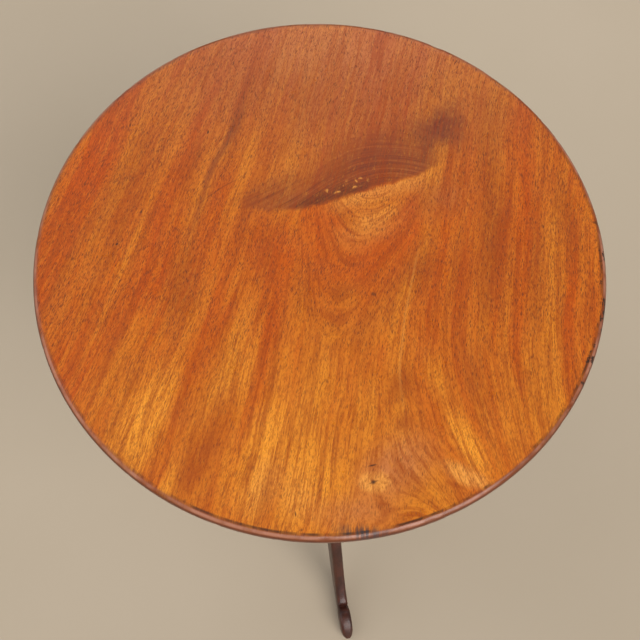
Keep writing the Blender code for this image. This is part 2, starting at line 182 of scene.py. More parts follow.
class Paint(Graph):
    """A material under construction."""

    def __init__(self, name):
        self.material = bpy.data.materials.new(name)
        self.material.use_nodes = True
        super().__init__(self.material.node_tree)
        self.shader = self.tree.nodes["Principled BSDF"]
        coords = self.node("ShaderNodeTexCoord")
        self.place = Value(self, coords.outputs["Object"])
        self.x, self.y, self.z = self.split(self.place)

    def ellipse(self, tool, at, centre, lean, size, core, peak, *others):
        """Feeds a node made by ellipse_tool. lean is degrees clockwise from V."""
        node = self.node("ShaderNodeGroup", node_tree=tool)
        cos, sin = math.cos(math.radians(lean)), math.sin(math.radians(lean))
        values = [at[0], at[1]]
        for along_u, along_v, half in ((cos, -sin, size[0]), (sin, cos, size[1])):
            values += [along_u / half, along_v / half, -(centre[0] * along_u + centre[1] * along_v) / half]
        for index, value in enumerate((*values, core, peak, *others)):
            self.feed(node.inputs[index], value)
        return Value(self, node.outputs[0])

    def spot(self, at, centre, lean, size, core=0.0, peak=1.0):
        """peak at the centre of an ellipse, falling to 0 at its rim."""
        return self.ellipse(SPOT, at, centre, lean, size, core, peak)

    def patch(self, under, at, centre, lean, size, core, peak, ragged, tint):
        """under, with an elliptical patch of tint over it."""
        return self.ellipse(PATCH, at, centre, lean, size, core, peak, ragged, under, tint)

    def finish(self, colour, roughness, height=None, bump=0.5, distance=0.001, **plain):
        self.feed(self.shader.inputs["Base Color"], colour)
        self.feed(self.shader.inputs["Roughness"], roughness)
        for name, value in plain.items():
            self.shader.inputs[name.replace("_", " ")].default_value = value
        if height is not None:
            node = self.node("ShaderNodeBump")
            node.inputs["Strength"].default_value = bump
            node.inputs["Distance"].default_value = distance
            self.feed(node.inputs["Height"], height)
            self.tree.links.new(node.outputs[0], self.shader.inputs["Normal"])
        return self.material


def ellipse_tool(name, patch):
    """A reusable node: the spot of an ellipse, or a whole patch of colour with that outline."""
    tree = bpy.data.node_groups.new(name, "ShaderNodeTree")
    numbers = ["u", "v", "p_u", "p_v", "p_start", "q_u", "q_v", "q_start", "core", "peak"]
    for label in numbers + (["ragged"] if patch else []):
        tree.interface.new_socket(label, in_out="INPUT", socket_type="NodeSocketFloat")
    for label in ("under", "tint") if patch else ():
        tree.interface.new_socket(label, in_out="INPUT", socket_type="NodeSocketColor")
    tree.interface.new_socket("result", in_out="OUTPUT",
                              socket_type="NodeSocketColor" if patch else "NodeSocketFloat")
    g = Graph(tree)
    start, end = g.node("NodeGroupInput"), g.node("NodeGroupOutput")
    given = [Value(g, socket) for socket in start.outputs[:-1]]
    u, v, p_u, p_v, p_start, q_u, q_v, q_start, core, peak = given[: len(numbers)]
    p = g.math("MULTIPLY_ADD", v, p_v, g.math("MULTIPLY_ADD", u, p_u, p_start))
    q = g.math("MULTIPLY_ADD", v, q_v, g.math("MULTIPLY_ADD", u, q_u, q_start))
    result = (p * p + q * q).sqrt().smooth(1.0, core, 0.0, peak)
    if patch:
        ragged, under, tint = given[len(numbers) :]
        result = g.mix(result * ragged, under, tint)
    g.feed(end.inputs[0], result)
    return tree


SPOT = ellipse_tool("spot", patch=False)
PATCH = ellipse_tool("patch", patch=True)


# ---------------------------------------------------------------------------------------------- top's wood
GOLD = (0.730, 0.238, 0.018)
PALE = (0.860, 0.345, 0.062)
ORANGE = (0.500, 0.106, 0.006)
HOT = (0.530, 0.078, 0.003)
RED = (0.315, 0.050, 0.004)
PINK = (0.365, 0.102, 0.030)
DUSK = (0.165, 0.034, 0.014)
DARK = (0.070, 0.020, 0.009)
SOOT = (0.030, 0.014, 0.009)
BRIGHT = (0.930, 0.345, 0.030)
ROSE = (0.560, 0.185, 0.056)
PLUM = (0.145, 0.026, 0.015)
SPECKLE, PORE, NICK = (0.22, 0.036, 0.005), (0.095, 0.020, 0.005), (0.055, 0.016, 0.006)
RIM_DARK, RIM_LIGHT, SHOULDER = (0.062, 0.015, 0.006), (0.190, 0.048, 0.016), (0.150, 0.032, 0.010)
# The first colour on the next line is a painted highlight for the crown of the rim; the second is an ink
# stain
CROWN_HIGHLIGHT, INK = (0.52, 0.235, 0.150), (0.045, 0.035, 0.038)
RAW_DARK, RAW_LIGHT = (0.15, 0.060, 0.026), (0.27, 0.125, 0.055)

# The dark wing in the figure: the middle of its lower edge (U, V), and that edge's lean in degrees
WING = (0.020, 0.086)
WING_LEAN = 20.5
# Patches of colour on the board, most of them figure, the first two a painted reflection: centre (U, V),
# lean, half sizes, share at full strength, colour, strength
PATCHES = [
    # Painted reflection: these two rows make the far side lighter and pinker, where the finish mirrors the
    # pale room
    ((0.000, 0.215), 0, (0.34, 0.16), 0.1, PINK, 0.72),
    ((0.020, 0.275), 0, (0.220, 0.080), 0.1, ROSE, 0.50),
    ((0.000, -0.230), 0, (0.32, 0.15), 0.1, GOLD, 0.40),
    ((-0.090, 0.125), 12, (0.026, 0.060), 0.0, GOLD, 0.55),
    ((-0.060, 0.160), 20, (0.030, 0.080), 0.0, ORANGE, 0.45),
    ((-0.101, 0.155), 15, (0.009, 0.052), 0.1, DUSK, 0.85),
    ((-0.116, 0.110), 17, (0.006, 0.060), 0.1, DUSK, 0.60),
    ((-0.092, 0.205), 12, (0.006, 0.050), 0.0, DUSK, 0.45),
    ((-0.128, 0.060), 14, (0.005, 0.070), 0.0, DUSK, 0.50),
    ((-0.140, 0.105), 14, (0.014, 0.070), 0.0, RED, 0.45),
    ((-0.205, 0.090), 18, (0.034, 0.120), 0.0, RED, 0.42),
    ((-0.145, -0.040), 8, (0.028, 0.075), 0.1, RED, 0.60),
    ((-0.048, 0.002), -6, (0.056, 0.085), 0.1, HOT, 0.85),
    ((-0.058, 0.005), -3, (0.020, 0.060), 0.0, RED, 0.50),
    ((-0.040, -0.080), 8, (0.040, 0.060), 0.0, HOT, 0.40),
    ((-0.080, -0.125), 12, (0.036, 0.080), 0.0, BRIGHT, 0.50),
    ((-0.108, 0.000), 8, (0.026, 0.075), 0.0, HOT, 0.55),
    ((0.050, 0.038), 60, (0.034, 0.058), 0.1, PALE, 0.46),
    ((0.032, -0.045), 0, (0.024, 0.026), 0.0, GOLD, 0.60),
    ((0.104, -0.012), 12, (0.030, 0.050), 0.0, RED, 0.66),
    ((0.146, 0.000), 0, (0.018, 0.070), 0.0, RED, 0.45),
    ((0.262, 0.055), -8, (0.020, 0.100), 0.0, RED, 0.65),
    ((0.178, 0.170), 0, (0.034, 0.085), 0.0, DUSK, 0.28),
    ((0.142, 0.150), 0, (0.022, 0.036), 0.0, DUSK, 0.45),
    ((0.125, 0.080), 60, (0.036, 0.070), 0.0, PINK, 0.50),
    ((0.180, 0.030), 0, (0.028, 0.130), 0.1, RED, 0.80),
    ((0.180, 0.120), 0, (0.020, 0.080), 0.0, RED, 0.40),
    ((0.226, 0.000), 0, (0.016, 0.150), 0.0, RED, 0.60),
    ((0.250, -0.030), -2, (0.008, 0.120), 0.0, RED, 0.45),
    ((-0.205, -0.135), 22, (0.024, 0.110), 0.1, GOLD, 0.60),
    ((-0.184, -0.145), 21, (0.018, 0.050), 0.0, GOLD, 0.55),
    ((-0.168, -0.190), 21, (0.032, 0.090), 0.2, BRIGHT, 0.90),
    ((-0.138, -0.255), 24, (0.016, 0.060), 0.1, BRIGHT, 0.70),
    ((-0.205, -0.160), 20, (0.006, 0.090), 0.0, ORANGE, 0.60),
    ((-0.155, -0.170), 20, (0.004, 0.070), 0.0, ORANGE, 0.50),
    ((-0.104, -0.210), 22, (0.023, 0.085), 0.3, ORANGE, 0.85),
    ((-0.110, -0.222), 22, (0.014, 0.060), 0.0, RED, 0.45),
    ((-0.052, -0.218), 18, (0.032, 0.095), 0.2, BRIGHT, 0.92),
    ((-0.048, -0.245), 25, (0.026, 0.050), 0.1, PALE, 0.50),
    ((0.000, -0.238), 4, (0.050, 0.075), 0.1, BRIGHT, 0.70),
    ((-0.015, -0.255), 4, (0.030, 0.036), 0.0, PALE, 0.40),
    ((0.082, -0.225), 50, (0.042, 0.066), 0.1, ROSE, 0.80),
    ((0.040, -0.270), 90, (0.026, 0.070), 0.0, ROSE, 0.60),
    ((0.088, -0.140), 10, (0.020, 0.034), 0.0, RED, 0.80),
    ((0.090, -0.178), 20, (0.015, 0.018), 0.0, RED, 0.65),
    ((0.060, -0.155), 8, (0.014, 0.060), 0.0, GOLD, 0.60),
    ((0.122, -0.130), -12, (0.018, 0.055), 0.1, GOLD, 0.85),
    ((0.149, -0.195), -28, (0.018, 0.055), 0.2, BRIGHT, 0.95),
    ((0.160, -0.125), -14, (0.014, 0.075), 0.0, RED, 0.50),
    ((0.205, -0.165), -10, (0.030, 0.060), 0.0, GOLD, 0.40),
    ((0.150, -0.230), -65, (0.014, 0.036), 0.2, PALE, 1.10),
    ((0.142, -0.241), -70, (0.004, 0.013), 0.2, RED, 0.60),
    ((0.062, -0.240), 0, (0.021, 0.014), 0.4, PALE, 1.10),
]
# Small dark marks: centre (U, V), lean, half sizes, strength
MARKS = [
    ((0.062, -0.240), 0, (0.0036, 0.0032), 0.85),
    ((0.062, -0.240), 70, (0.0014, 0.0075), 0.7),
    ((0.060, -0.223), 78, (0.0013, 0.0055), 0.8),
    ((-0.016, -0.273), -10, (0.0012, 0.0035), 0.8),
    ((-0.032, -0.256), 0, (0.0010, 0.0030), 0.5),
    ((-0.009, -0.288), 0, (0.0015, 0.0020), 0.6),
    ((-0.190, 0.044), 10, (0.0012, 0.0034), 0.9),
    ((-0.214, 0.005), 40, (0.0014, 0.0024), 0.9),
    ((-0.261, -0.041), 10, (0.0012, 0.0030), 0.8),
    ((-0.129, 0.144), 10, (0.0013, 0.0034), 0.9),
    ((0.058, -0.040), -30, (0.0030, 0.0040), 0.5),
    ((0.062, -0.050), 20, (0.0012, 0.0060), 0.5),
]


def top_wood():
    g = Paint("mahogany_figured")
    turn = math.radians(FIGURE_TURN)
    u = g.x * math.cos(turn) - g.y * math.sin(turn)
    v = g.x * math.sin(turn) + g.y * math.cos(turn)
    plain = g.vector(u, v)
    drift_u, drift_v, _ = g.split(g.noise(plain, 5.0, 2.0, 0.5, colour=True))
    u1 = u + (drift_u - 0.5) * 0.024
    v1 = v + (drift_v - 0.5) * 0.024
    ripple = g.noise(g.vector(u * 60.0, v * 14.0), 1.0, 2.0, 0.5)
    u1 = u1 + (ripple - 0.5) * 0.004
    warped = (u1, v1)

    # The swirl under the fork: curves like nested cups, that open out into straight grain on both sides
    centre = 0.035 + v1 * 0.16
    spread = (0.05 - v1).at_least(0.0) * 0.6 + 1.0
    across = (u1 - centre) / spread
    corner = (-0.06 - v1).at_least(0.0)
    open_grain = across
    across = across - corner * corner * u1.smooth(0.03, 0.14) * u1.smooth(0.29, 0.17) * 1.5
    below = (0.085 - v1).at_least(0.0)
    cup = (1.0 - (below * -8.0).exp()) * 0.0070
    swirl = (across * across + cup + 0.00001).sqrt()
    # Straight grain above it, leaning more on the left
    rise = v1 - 0.05
    straight = (u1 - 0.043) * (rise * 0.4 + 1.0) - rise * 0.20
    # The dark wing where the two branches part: arches over a sharp lower edge
    wing_u, wing_v = WING
    lean = math.radians(WING_LEAN)
    a = (u1 - wing_u) * math.cos(lean) + (v1 - wing_v) * math.sin(lean)
    b = (v1 - wing_v) * math.cos(lean) - (u1 - wing_u) * math.sin(lean)
    b = b + 0.0125 - (a + 0.030).at_most(0.0).power(2.0) * 2.9 - (a - 0.030).at_least(0.0).power(2.0) * 1.4
    arch = b + (a - 0.030) * (a - 0.030) * a.smooth(-0.01, 0.06, 2.6, 6.5)
    tremble = g.noise(plain, 75.0, 3.0, 0.6)
    b_fine = b + (ripple - 0.5) * 0.004 + (tremble - 0.5) * 0.010
    over = b_fine.smooth(-0.0020, 0.0045)
    wing = over * arch.smooth(0.078, 0.024) * a.smooth(-0.128, -0.092) * a.smooth(0.125, 0.085)
    upper = (v1 + (u1 * -0.30)).smooth(0.045, 0.105).at_least(over * wing)

    grain = g.blend(upper, open_grain, straight)
    flow = g.blend(upper, across, straight)
    core = g.spot((u, v), (0.035, 0.010), 10, (0.105, 0.150), 0.45) * (1.0 - upper)

    def streaks(scale, detail, roughness, slow):
        outer = g.noise(g.vector(flow * scale, u1 * slow, v1 * slow), 1.0, detail, roughness)
        inner = g.noise(g.vector(swirl * scale, u1 * slow, v1 * slow + 7.0), 1.0, detail, roughness)
        return g.blend(core, outer, inner)

    broad = streaks(26.0, 4.0, 0.60, 1.8)
    fine = streaks(130.0, 4.0, 0.65, 6.0)
    hair = streaks(620.0, 2.0, 0.60, 26.0)
    arches = g.noise(g.vector(arch * 300.0, a * 5.0, 3.0), 1.0, 4.0, 0.68)
    cloud = g.noise(plain, 9.0, 3.0, 0.5)

    colour = g.mix(broad.smooth(0.34, 0.66), HOT, GOLD)
    colour = g.mix(cloud.smooth(0.35, 0.75) * 0.45, colour, ORANGE)
    breakup = fine.smooth(0.30, 0.62, 0.62, 1.12)
    for middle, tilt, size, full, tint, strength in PATCHES:
        colour = g.patch(colour, warped, middle, tilt, size, full, strength, breakup, tint)
    colour = g.mix(fine.smooth(0.54, 0.32) * 0.50, colour, RED)
    colour = g.mix(fine.smooth(0.52, 0.70) * 0.34, colour, GOLD)

    # The wing, its light arcs, the blotch at its far end and the pale flecks along its lower edge
    soft = wing * arches.smooth(0.36, 0.58, 1.0, 0.62)
    colour = g.mix(soft, colour, DUSK)
    veil = over * arch.smooth(0.100, 0.060) * a.smooth(-0.110, -0.060) * a.smooth(0.115, 0.085)
    lines = arches.smooth(0.55, 0.63) * veil * arch.smooth(0.006, 0.020)
    seam = b_fine.smooth(0.020, 0.006) * over * a.smooth(-0.080, -0.03) * a.smooth(0.055, 0.005)
    colour = g.mix(seam * 0.60, colour, DARK)
    torn_u, torn_v, _ = g.split(g.noise(plain, 30.0, 4.0, 0.6, colour=True))
    ragged = (u1 + (torn_u - 0.5) * 0.050, v1 + (torn_v - 0.5) * 0.050)
    blotch = g.spot(ragged, (0.128, 0.168), 48, (0.030, 0.046), 0.1)
    blotch = (blotch + g.spot(ragged, (0.112, 0.130), 30, (0.018, 0.030), 0.0, 0.8)).clamp()
    colour = g.mix(blotch * 0.92 * breakup, colour, PLUM)
    haze = g.spot(ragged, (0.078, 0.146), 70, (0.045, 0.105), 0.0) * arches.smooth(0.34, 0.62, 1.0, 0.55)
    colour = g.mix(haze * over * 0.60, colour, DUSK)
    left_wing = g.spot(ragged, (-0.058, 0.078), 52, (0.022, 0.050), 0.1)
    colour = g.mix(left_wing * 0.70 * over * arches.smooth(0.30, 0.60, 1.0, 0.45), colour, DUSK)
    colour = g.mix(lines * 0.60, colour, PINK)
    fleck, chance = g.cells(g.vector(a + (tremble - 0.5) * 0.012, b), 165.0)
    band = b.smooth(0.006, 0.009) * b.smooth(0.021, 0.014)
    band = band * a.smooth(-0.024, -0.016) * a.smooth(0.030, 0.022)
    colour = g.mix(fleck.smooth(0.56, 0.34) * chance.smooth(0.40, 0.48) * band * 0.85, colour, PALE)
    glow = b_fine.smooth(-0.0240, -0.003) * b_fine.smooth(0.001, -0.003) * a.smooth(-0.045, 0.010)
    glow = glow * a.smooth(0.115, 0.060)
    colour = g.mix(glow * 0.55, colour, PALE)

    # Pores: short dark dashes along the grain, and a finer speckle between them
    pore, luck = g.cells(g.vector(grain * 820.0, u1 * 128.0, v1 * 128.0))
    density = g.noise(plain, 14.0, 2.0, 0.5) + u1.smooth(0.00, -0.18) * 0.17
    density = density + u1.smooth(0.10, 0.24) * 0.13
    calm = (1.0 - wing * 0.6) * v1.smooth(-0.04, -0.20, 1.0, 0.62)
    pores = pore.smooth(0.38, 0.16) * (luck + density).smooth(0.98, 1.12) * calm
    dot, fortune = g.cells(g.vector(grain * 1050.0, u1 * 270.0, v1 * 270.0))
    speckle = dot.smooth(0.56, 0.20) * (fortune + density).smooth(0.72, 1.05) * calm
    edge_wear = (u1 * u1 + v1 * v1).sqrt().smooth(0.10, 0.30)
    coarse, fate = g.cells(g.vector(grain * 400.0, u1 * 72.0, v1 * 72.0))
    nicks = coarse.smooth(0.26, 0.14) * fate.smooth(0.80, 0.90)
    nicks = nicks * edge_wear * (calm * 1.6 - 0.6).at_least(0.0)

    # A finer mottle, and dark marks and one long scratch over it all
    mottle = g.noise(g.vector(flow * 420.0, u1 * 150.0, v1 * 150.0), 1.0, 3.0, 0.7)
    colour = g.mix(mottle.smooth(0.54, 0.34) * 0.42, colour, RED)
    colour = g.mix(mottle.smooth(0.54, 0.72) * 0.30, colour, GOLD)
    colour = g.mix(hair.smooth(0.52, 0.34) * 0.50, colour, RED)
    colour = g.mix(speckle * 0.68, colour, SPECKLE)
    colour = g.mix(pores * 0.84, colour, PORE)
    colour = g.mix(nicks * 0.72, colour, NICK)
    marks = None
    for middle, tilt, size, strength in MARKS:
        mark = g.spot(warped, middle, tilt, size, 0.2, strength)
        marks = mark if marks is None else marks.at_least(mark)
    scratch = g.spot(warped, (-0.109, 0.075), 52, (0.0011, 0.038), 0.2)
    colour = g.mix(scratch * 0.45, colour, DARK)
    colour = g.mix(marks, colour, SOOT)

    # Two long fine lines beside the swirl
    for offset, tint in ((0.0, RED), (0.0035, PALE)):
        line = (across - (0.058 + offset) - (ripple - 0.5) * 0.003).abs().smooth(0.0016, 0.0004)
        line = line * v1.smooth(-0.19, -0.12) * v1.smooth(0.03, -0.01)
        colour = g.mix(line * 0.22, colour, tint)

    # The rim: dirt where the flat meets the rounding, a darker edge below, a painted highlight along the
    # crown of the rounding, and chips and stains. The board ends at a radius of 0.300, and its flat is 0.700
    # above the floor
    radius = (g.x * g.x + g.y * g.y).sqrt()
    around = g.noise(g.vector(g.x, g.y, g.z), 26.0, 3.0, 0.6)
    dirt = radius.smooth(0.2918, 0.2936) * radius.smooth(0.2962, 0.2944)
    towards = (u * 0.55 - v * 0.84).smooth(-0.10, 0.26)
    colour = g.mix(dirt * around.smooth(0.38, 0.60) * (towards * 0.6 + 0.25), colour, SOOT)
    low = g.z.smooth(0.6992, 0.6960)
    rim_tone = g.mix(g.noise(g.vector(g.x, g.y, g.z * 4.0), 90.0, 3.0, 0.6), RIM_DARK, RIM_LIGHT)
    shoulder = radius.smooth(0.2935, 0.2965)
    colour = g.mix(shoulder * (towards * 0.40 + 0.45), colour, SHOULDER)
    colour = g.mix(low * radius.smooth(0.2900, 0.2945) * 0.92, colour, rim_tone)
    # A lighter pinkish line along the crown of the rim's rounding: a painted highlight
    crown_highlight = radius.smooth(0.2950, 0.2966) * radius.smooth(0.2992, 0.2978) * g.z.smooth(0.6950, 0.6965)
    colour = g.mix(crown_highlight * around.smooth(0.35, 0.60) * 0.60, colour, CROWN_HIGHLIGHT)
    bites = g.noise(g.vector(u, v * 0.7, g.z * 0.5), 120.0, 3.0, 0.6)
    right_side = u.smooth(0.235, 0.275) * v.smooth(0.10, 0.02) * v.smooth(-0.20, -0.12)
    chips = bites.smooth(0.54, 0.62) * radius.smooth(0.2895, 0.2945) * (right_side * 0.9 + 0.08)
    colour = g.mix(chips, colour, SOOT)
    comb = g.noise(g.vector(u * 420.0, v * 30.0), 1.0, 2.0, 0.6)
    stain = g.spot((u, v), (0.052, -0.290), 93, (0.011, 0.040), 0.0) * comb.smooth(0.36, 0.60)
    colour = g.mix(stain * 0.9, colour, INK)

    # The underside is bare, dry wood
    under = g.z.smooth(0.6875, 0.6855)
    dry = g.noise(g.vector(g.x * 9.0, g.y * 130.0, g.z), 1.0, 4.0, 0.6)
    raw = g.mix(dry.smooth(0.3, 0.7), RAW_DARK, RAW_LIGHT)
    colour = g.mix(under, colour, raw)

    wear = g.noise(plain, 36.0, 4.0, 0.6)
    roughness = wear.linear(0.3, 0.7, 0.26, 0.40) + pores * 0.12 + under * 0.35
    height = hair * 0.25 - pores * 0.8 - nicks - marks + wear * 0.30 - stain * 0.3
    return g.finish(colour, roughness, height, 0.30, 0.0005,
                    Coat_Weight=0.16, Coat_Roughness=0.14, Specular_IOR_Level=0.30)


def straight_wood(name, light, dark, along, shine, wear_tone=None):
    """Plainer wood for the stand: grain along one axis, pores, rubbed places. shine is a roughness."""
    g = Paint(name)
    axes = {"x": g.x, "y": g.y, "z": g.z}
    warp = (g.noise(g.place, 9.0, 2.0, 0.5) - 0.5) * 0.012
    bent = {key: axis + warp for key, axis in axes.items()}

    def drawn_out(place, slow, quick):
        """Where to read a texture that is long in the direction of the grain."""
        return g.vector(*(place[key] * (slow if key == along else quick) for key in "xyz"))

    broad = g.noise(g.place, 12.0, 3.0, 0.55)
    grain = g.noise(drawn_out(bent, 7.0, 95.0), 1.0, 5.0, 0.62)
    fine = g.noise(drawn_out(axes, 60.0, 900.0), 1.0, 2.0, 0.6)
    colour = g.mix(grain.smooth(0.32, 0.66), dark, light)
    colour = g.mix(broad.smooth(0.40, 0.75) * 0.45, colour, tuple(c * 0.55 for c in dark))
    pore, luck = g.cells(drawn_out(axes, 130.0, 700.0))
    pores = pore.smooth(0.34, 0.16) * luck.smooth(0.55, 0.70)
    colour = g.mix(pores * 0.6, colour, tuple(c * 0.25 for c in dark))
    colour = g.mix(fine.smooth(0.55, 0.35) * 0.35, colour, tuple(c * 0.5 for c in dark))
    if wear_tone:
        edges = Value(g, g.node("ShaderNodeNewGeometry").outputs["Pointiness"])
        rubbed = edges.smooth(0.515, 0.60) * broad.smooth(0.35, 0.6)
        colour = g.mix(rubbed * 0.6, colour, wear_tone)
    scuff = g.noise(g.place, 60.0, 4.0, 0.65)
    roughness = scuff.linear(0.3, 0.7, shine - 0.05, shine + 0.12) + pores * 0.1
    height = grain * 0.4 + fine * 0.3 - pores * 0.8 + scuff * 0.2
    coat = 0.12 if shine < 0.45 else 0.0
    return g.finish(colour, roughness, height, 0.35, 0.0004,
                    Coat_Weight=coat, Coat_Roughness=0.18, Specular_IOR_Level=0.4)


def old_metal(name, bright, dull, spots, shine):
    """Metal with a dull film over it and spots of tarnish or rust."""
    g = Paint(name)
    film = g.noise(g.place, 95.0, 5.0, 0.6)
    pits = g.noise(g.place, 900.0, 3.0, 0.6)
    speck, luck = g.cells(g.place, 700.0)
    brushed = g.noise(g.vector(g.x * 300.0, g.y * 2600.0, g.z * 300.0), 1.0, 2.0, 0.6)
    colour = g.mix(film.smooth(0.35, 0.65), bright, dull)
    colour = g.mix(speck.smooth(0.36, 0.12) * luck.smooth(0.55, 0.70) * 0.75, colour, spots)
    roughness = film.linear(0.3, 0.7, shine - 0.06, shine + 0.16) + brushed * 0.06
    return g.finish(colour, roughness, pits * 0.6 + brushed * 0.4, 0.22, 0.0003, Metallic=1.0)


# ---------------------------------------------------------------------------------------------- meshes
def new_object(name, bm, smooth_angle=40.0):
    bmesh.ops.recalc_face_normals(bm, faces=bm.faces)
    mesh = bpy.data.meshes.new(name)
    bm.to_mesh(mesh)
    bm.free()
    mesh.shade_smooth()
    mesh.set_sharp_from_angle(angle=math.radians(smooth_angle))
    made = bpy.data.objects.new(name, mesh)
    bpy.context.scene.collection.objects.link(made)
    return made


def dress(piece, material, body, slot_name, *nodes):
    """Gives a piece its material and its body, and puts it in place of the CAD's nodes."""
    piece.data.materials.clear()
    piece.data.materials.append(material)
    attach(piece, body)
    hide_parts(*nodes)
    return piece


def arc(centre, radius, start, end, steps):
    """Points along an arc. The angles are in degrees."""
    angles = [math.radians(start + (end - start) * k / steps) for k in range(steps + 1)]
    return [(centre[0] + radius * math.cos(t), centre[1] + radius * math.sin(t)) for t in angles]


def curve_through(points, steps):
    """A smooth curve through every point (Catmull-Rom), steps pieces for each span."""
    points = [Vector(p) for p in points]
    ends = [points[0] * 2 - points[1], *points, points[-1] * 2 - points[-2]]
    made = []
    for k in range(len(points) - 1):
        p0, p1, p2, p3 = ends[k : k + 4]
        for step in range(steps):
            t = step / steps
            made.append(
                0.5 * ((2 * p1) + (p2 - p0) * t + (2 * p0 - 5 * p1 + 4 * p2 - p3) * t * t
                       + (3 * p1 - p0 - 3 * p2 + p3) * t**3)
            )
    return made + [points[-1]]


def lathe(name, outline, segments, centre=(0, 0), wobble=None, smooth_angle=40.0):
    """A closed turned solid from (radius, height) points, lowest first."""
    bm = bmesh.new()
    rings = []
    for radius, height in outline:
        ring = []
        for k in range(segments):
            t = math.tau * k / segments
            extra = wobble(t, radius, height) if wobble else (0.0, 0.0)
            ring.append(bm.verts.new((centre[0] + (radius + extra[0]) * math.cos(t),
                                      centre[1] + (radius + extra[0]) * math.sin(t), height + extra[1])))
        rings.append(ring)
    for first, second in zip(rings, rings[1:]):
        for k in range(segments):
            n = (k + 1) % segments
            bm.faces.new((first[k], first[n], second[n], second[k]))
    for ring, height in ((rings[0], outline[0][1]), (rings[-1], outline[-1][1])):
        middle = bm.verts.new((centre[0], centre[1], height))
        for k in range(segments):
            bm.faces.new((ring[k], ring[(k + 1) % segments], middle))
    return new_object(name, bm, smooth_angle)


# The rounding of the board's edge, above and below its widest line
RIM, RIM_BELOW = 0.0062, 0.0045


def build_top(material):
    low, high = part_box("top_board")
    reach, under, upper = high[0], low[2], high[2]
    widest = upper - RIM
    outline = [(r, under) for r in (0.05, 0.12, 0.20, 0.26, 0.288)]
    outline += [(reach - RIM_BELOW + RIM_BELOW * math.cos(t), widest - (widest - under) * math.sin(t))
                for t in (math.radians(a) for a in range(90, 0, -9))]
    outline += [(reach - RIM + RIM * math.cos(t), widest + RIM * math.sin(t))
                for t in (math.radians(a) for a in range(0, 91, 9))]
    outline += [(r, upper) for r in (0.291, 0.286, 0.27, 0.24, 0.20, 0.16, 0.12, 0.08, 0.04)]

    def worn(t, radius, height):
        """Dents and a slight wave in the rim, and a flat that isn't quite flat."""
        at = Vector((math.cos(t) * radius, math.sin(t) * radius, height))
        rim = min(max((radius - 0.285) / 0.012, 0.0), 1.0)
        dent = max(noise.noise(at * 75.0) - 0.32, 0.0) * 0.0016
        dent += max(noise.noise(at * 160.0) - 0.38, 0.0) * 0.0012
        wave = noise.noise(at * 9.0) * 0.00022
        lift = noise.noise(at * 5.0) * 0.00018 if height > under + 0.010 else 0.0
        return (-rim * dent - rim * abs(wave), lift - rim * dent * 0.35)

    top = lathe("top_board_polished", outline, 360, wobble=worn, smooth_angle=60.0)
    return dress(top, material, TOP, "top_wood", "top_board")


def bead(radius, bulge, low, high):
    """A turned half round from low to high, standing out from radius by bulge."""
    middle, half = (low + high) / 2, (high - low) / 2
    return [(radius + bulge * math.cos(t), middle + half * math.sin(t))
            for t in (math.radians(-90 + 18 * k) for k in range(11))]


def build_column(material):
    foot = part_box("column")[0][2]
    block_low, block_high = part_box("block")
    vase = [(0.0225, 0.2225), (0.0215, 0.227), (0.0232, 0.234), (0.029, 0.245), (0.0350, 0.262),
            (0.0370, 0.280), (0.0350, 0.300), (0.0295, 0.325), (0.0240, 0.355), (0.0205, 0.385),
            (0.0195, 0.400)]
    shaft = [(0.0205, 0.4130), (0.0222, 0.440), (0.0225, 0.470), (0.0210, 0.520), (0.0185, 0.580),
             (0.0175, 0.608)]
    capital = [(0.0190, 0.622), (0.0195, 0.629), (0.0240, 0.637), (0.0295, 0.6425), (0.0308, 0.6475),
               (0.0300, block_low[2] - 0.0003)]
    outline = [(0.010, foot), (0.0268, foot), (0.0285, foot + 0.0008), (0.0297, foot + 0.0025),
               (0.0300, foot + 0.005)]
    outline += [(0.0300, z) for z in (0.14, 0.17, 0.1985)]
    outline += arc((0.0285, 0.1985), 0.0015, 0, 90, 4)
    outline += [(0.0275, 0.2018), (0.0275, 0.2068)]
    outline += bead(0.0275, 0.0070, 0.2072, 0.2205)
    outline += [(0.0252, 0.2210), (0.0252, 0.2222)]
    outline += [tuple(p) for p in curve_through(vase, 5)]
    outline += [(0.0215, 0.4008), (0.0215, 0.4022)] + bead(0.0215, 0.0050, 0.4026, 0.4108)
    outline += [(0.0215, 0.4112), (0.0215, 0.4126)]
    outline += [tuple(p) for p in curve_through(shaft, 5)]
    outline += [(0.0192, 0.6085), (0.0192, 0.6100)] + bead(0.0192, 0.0043, 0.6104, 0.6196)
    outline += [(0.0192, 0.6200), (0.0192, 0.6214)]
    outline += [tuple(p) for p in curve_through(capital, 5)]
    outline += [(0.0140, block_low[2] - 0.0002), (0.0140, block_high[2] - 0.0008)]

    def turned(t, radius, height):
        """Slightly out of round, as hand turning is."""
        at = Vector((math.cos(t), math.sin(t), height * 20.0))
        return (noise.noise(at * 1.5) * 0.00018, 0.0)

    column = lathe("column_turned", outline, 96, wobble=turned, smooth_angle=38.0)
    return dress(column, material, STAND, "base_wood", "column")


# Half the leg's thickness, and the rounding of its upper and lower edges
LEG_HALF, LEG_ROUND_TOP, LEG_ROUND_LOW = 0.0086, 0.0048, 0.0022
